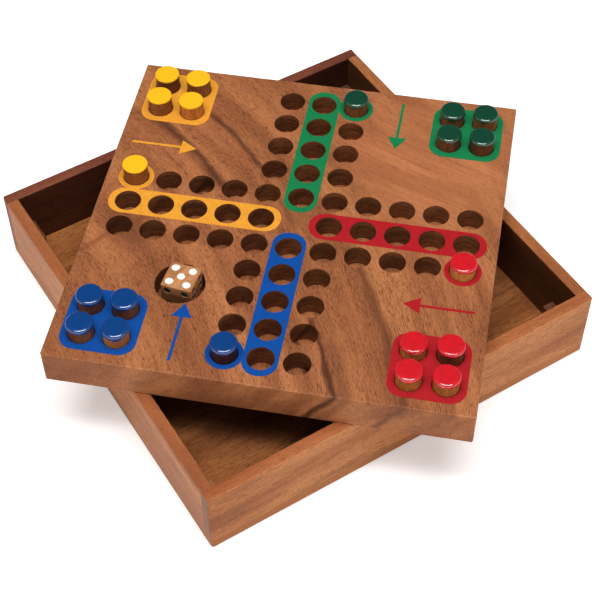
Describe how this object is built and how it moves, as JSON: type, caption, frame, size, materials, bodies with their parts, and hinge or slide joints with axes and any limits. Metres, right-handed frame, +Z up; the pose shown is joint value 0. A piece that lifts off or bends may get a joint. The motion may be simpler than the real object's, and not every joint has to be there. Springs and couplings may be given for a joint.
{
  "type": "ludo board game in a tray",
  "caption": "Square wooden tray with a loose thick playing board turned on its rim, dowel pegs with dipped coloured tops standing in its holes, and a wooden die in a round well.",
  "frame": {"origin": "centre of the tray's underside", "axes": "+X to the right along the front wall, +Y to the back wall, +Z up"},
  "size_m": [0.2826, 0.2826, 0.0697],
  "materials": {
    "tray_wood": "oiled, satin",
    "board_wood": "oiled, satin",
    "peg_wood": "oiled, satin",
    "die_wood": "oiled, satin",
    "pip_white": "painted, satin",
    "yellow_print": "printed, matt",
    "green_print": "printed, matt",
    "red_print": "printed, matt",
    "blue_print": "printed, matt",
    "yellow_dip": "painted, satin",
    "green_dip": "painted, gloss",
    "red_dip": "painted, gloss",
    "blue_dip": "painted, gloss"
  },
  "bodies": {
    "tray": {"front_wall": "tray_wood", "back_wall": "tray_wood", "left_wall": "tray_wood", "right_wall": "tray_wood", "bottom_panel": "tray_wood", "corner_post_1": "tray_wood", "corner_post_2": "tray_wood", "corner_post_3": "tray_wood", "corner_post_4": "tray_wood"},
    "board": {"ludo_board": "board_wood", "print_yellow": "yellow_print", "print_green": "green_print", "print_red": "red_print", "print_blue": "blue_print"},
    "yellow_peg_1": {"yellow_peg_1": "peg_wood", "yellow_cap_1": "yellow_dip"},
    "yellow_peg_2": {"yellow_peg_2": "peg_wood", "yellow_cap_2": "yellow_dip"},
    "yellow_peg_3": {"yellow_peg_3": "peg_wood", "yellow_cap_3": "yellow_dip"},
    "yellow_peg_4": {"yellow_peg_4": "peg_wood", "yellow_cap_4": "yellow_dip"},
    "yellow_peg_5": {"yellow_peg_5": "peg_wood", "yellow_cap_5": "yellow_dip"},
    "green_peg_1": {"green_peg_1": "peg_wood", "green_cap_1": "green_dip"},
    "green_peg_2": {"green_peg_2": "peg_wood", "green_cap_2": "green_dip"},
    "green_peg_3": {"green_peg_3": "peg_wood", "green_cap_3": "green_dip"},
    "green_peg_4": {"green_peg_4": "peg_wood", "green_cap_4": "green_dip"},
    "green_peg_5": {"green_peg_5": "peg_wood", "green_cap_5": "green_dip"},
    "red_peg_1": {"red_peg_1": "peg_wood", "red_cap_1": "red_dip"},
    "red_peg_2": {"red_peg_2": "peg_wood", "red_cap_2": "red_dip"},
    "red_peg_3": {"red_peg_3": "peg_wood", "red_cap_3": "red_dip"},
    "red_peg_4": {"red_peg_4": "peg_wood", "red_cap_4": "red_dip"},
    "red_peg_5": {"red_peg_5": "peg_wood", "red_cap_5": "red_dip"},
    "blue_peg_1": {"blue_peg_1": "peg_wood", "blue_cap_1": "blue_dip"},
    "blue_peg_2": {"blue_peg_2": "peg_wood", "blue_cap_2": "blue_dip"},
    "blue_peg_3": {"blue_peg_3": "peg_wood", "blue_cap_3": "blue_dip"},
    "blue_peg_4": {"blue_peg_4": "peg_wood", "blue_cap_4": "blue_dip"},
    "blue_peg_5": {"blue_peg_5": "peg_wood", "blue_cap_5": "blue_dip"},
    "die": {"die": "die_wood", "die_pips": "pip_white"}
  },
  "joints": [
    {"name": "board_lift", "type": "slide", "parent": "tray", "child": "board", "axis": [0, 0, 1], "range_m": [0, 0.06]},
    {"name": "yellow_peg_1_lift", "type": "slide", "parent": "board", "child": "yellow_peg_1", "axis": [0, 0, 1], "range_m": [0, 0.025]},
    {"name": "yellow_peg_2_lift", "type": "slide", "parent": "board", "child": "yellow_peg_2", "axis": [0, 0, 1], "range_m": [0, 0.025]},
    {"name": "yellow_peg_3_lift", "type": "slide", "parent": "board", "child": "yellow_peg_3", "axis": [0, 0, 1], "range_m": [0, 0.025]},
    {"name": "yellow_peg_4_lift", "type": "slide", "parent": "board", "child": "yellow_peg_4", "axis": [0, 0, 1], "range_m": [0, 0.025]},
    {"name": "yellow_peg_5_lift", "type": "slide", "parent": "board", "child": "yellow_peg_5", "axis": [0, 0, 1], "range_m": [0, 0.025]},
    {"name": "green_peg_1_lift", "type": "slide", "parent": "board", "child": "green_peg_1", "axis": [0, 0, 1], "range_m": [0, 0.025]},
    {"name": "green_peg_2_lift", "type": "slide", "parent": "board", "child": "green_peg_2", "axis": [0, 0, 1], "range_m": [0, 0.025]},
    {"name": "green_peg_3_lift", "type": "slide", "parent": "board", "child": "green_peg_3", "axis": [0, 0, 1], "range_m": [0, 0.025]},
    {"name": "green_peg_4_lift", "type": "slide", "parent": "board", "child": "green_peg_4", "axis": [0, 0, 1], "range_m": [0, 0.025]},
    {"name": "green_peg_5_lift", "type": "slide", "parent": "board", "child": "green_peg_5", "axis": [0, 0, 1], "range_m": [0, 0.025]},
    {"name": "red_peg_1_lift", "type": "slide", "parent": "board", "child": "red_peg_1", "axis": [0, 0, 1], "range_m": [0, 0.025]},
    {"name": "red_peg_2_lift", "type": "slide", "parent": "board", "child": "red_peg_2", "axis": [0, 0, 1], "range_m": [0, 0.025]},
    {"name": "red_peg_3_lift", "type": "slide", "parent": "board", "child": "red_peg_3", "axis": [0, 0, 1], "range_m": [0, 0.025]},
    {"name": "red_peg_4_lift", "type": "slide", "parent": "board", "child": "red_peg_4", "axis": [0, 0, 1], "range_m": [0, 0.025]},
    {"name": "red_peg_5_lift", "type": "slide", "parent": "board", "child": "red_peg_5", "axis": [0, 0, 1], "range_m": [0, 0.025]},
    {"name": "blue_peg_1_lift", "type": "slide", "parent": "board", "child": "blue_peg_1", "axis": [0, 0, 1], "range_m": [0, 0.025]},
    {"name": "blue_peg_2_lift", "type": "slide", "parent": "board", "child": "blue_peg_2", "axis": [0, 0, 1], "range_m": [0, 0.025]},
    {"name": "blue_peg_3_lift", "type": "slide", "parent": "board", "child": "blue_peg_3", "axis": [0, 0, 1], "range_m": [0, 0.025]},
    {"name": "blue_peg_4_lift", "type": "slide", "parent": "board", "child": "blue_peg_4", "axis": [0, 0, 1], "range_m": [0, 0.025]},
    {"name": "blue_peg_5_lift", "type": "slide", "parent": "board", "child": "blue_peg_5", "axis": [0, 0, 1], "range_m": [0, 0.025]},
    {"name": "die_lift", "type": "slide", "parent": "board", "child": "die", "axis": [0, 0, 1], "range_m": [0, 0.025]}
  ]
}
